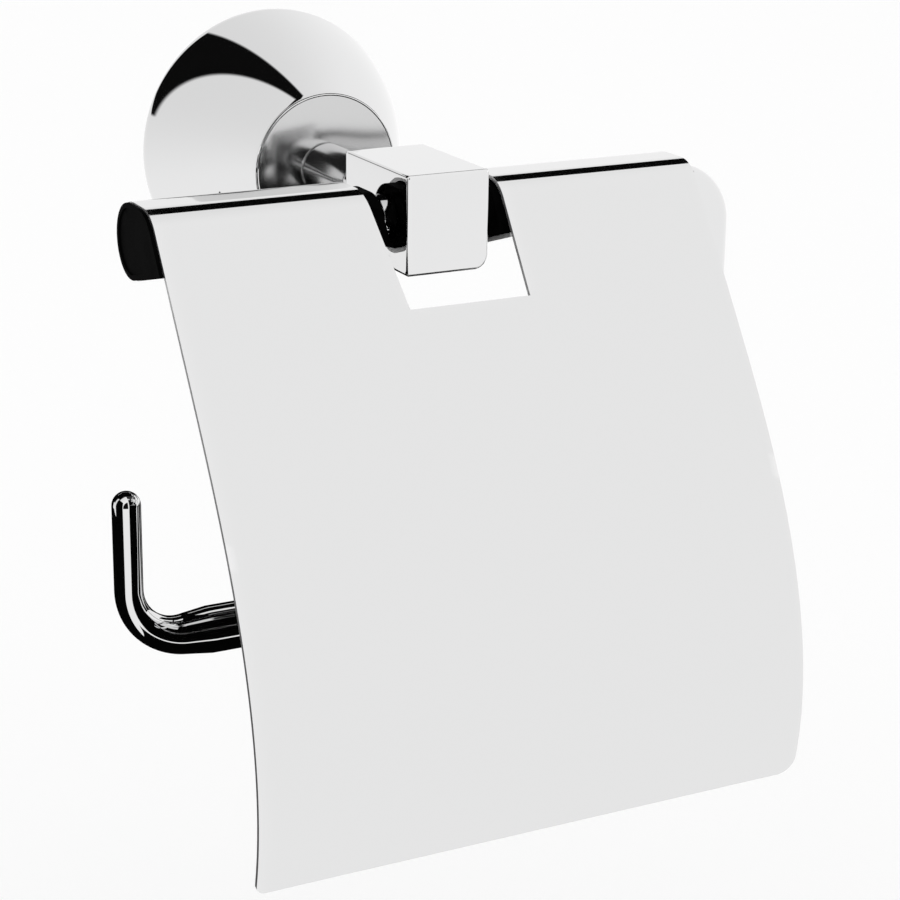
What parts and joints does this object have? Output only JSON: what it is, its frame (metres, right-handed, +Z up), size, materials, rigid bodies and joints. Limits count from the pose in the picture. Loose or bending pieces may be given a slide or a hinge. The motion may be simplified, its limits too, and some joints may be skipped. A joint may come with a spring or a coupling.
{
  "type": "toilet paper holder",
  "caption": "Wall-mounted toilet paper holder: cone rosette, square arm, bent bar with an upturned tip, and a hinged sheet cover.",
  "frame": {"origin": "on the wall plane, at the axis of the rosette and post", "axes": "+Y into the wall, +X to the right seen from the front, +Z up; the cover faces -Y"},
  "size_m": [0.1581, 0.1499, 0.161],
  "materials": {
    "chrome": "bright plated, mirror polish",
    "polished_sheet": "polished and plated sheet",
    "zinc_steel": "zinc plated",
    "black_nylon": "moulded, fine satin"
  },
  "bodies": {
    "root": {"wall_bracket": "zinc_steel", "rosette": "chrome", "rosette_grub_screw": "zinc_steel", "post": "chrome", "post_bolt": "zinc_steel", "arm_stud": "zinc_steel", "arm": "chrome", "arm_grub_screw": "zinc_steel", "spacer_left": "chrome", "spacer_right": "chrome", "roll_bar": "chrome", "stop_pin": "zinc_steel"},
    "cover": {"cover": "polished_sheet", "end_cap_left": "black_nylon", "end_cap_right": "black_nylon", "bush_left": "black_nylon", "bush_right": "black_nylon"}
  },
  "joints": [
    {"name": "cover_hinge", "type": "hinge", "parent": "root", "child": "cover", "pos_m": [0, -0.0837, -0.0012], "axis": [-1, 0, 0], "range_deg": [0, 100]}
  ]
}
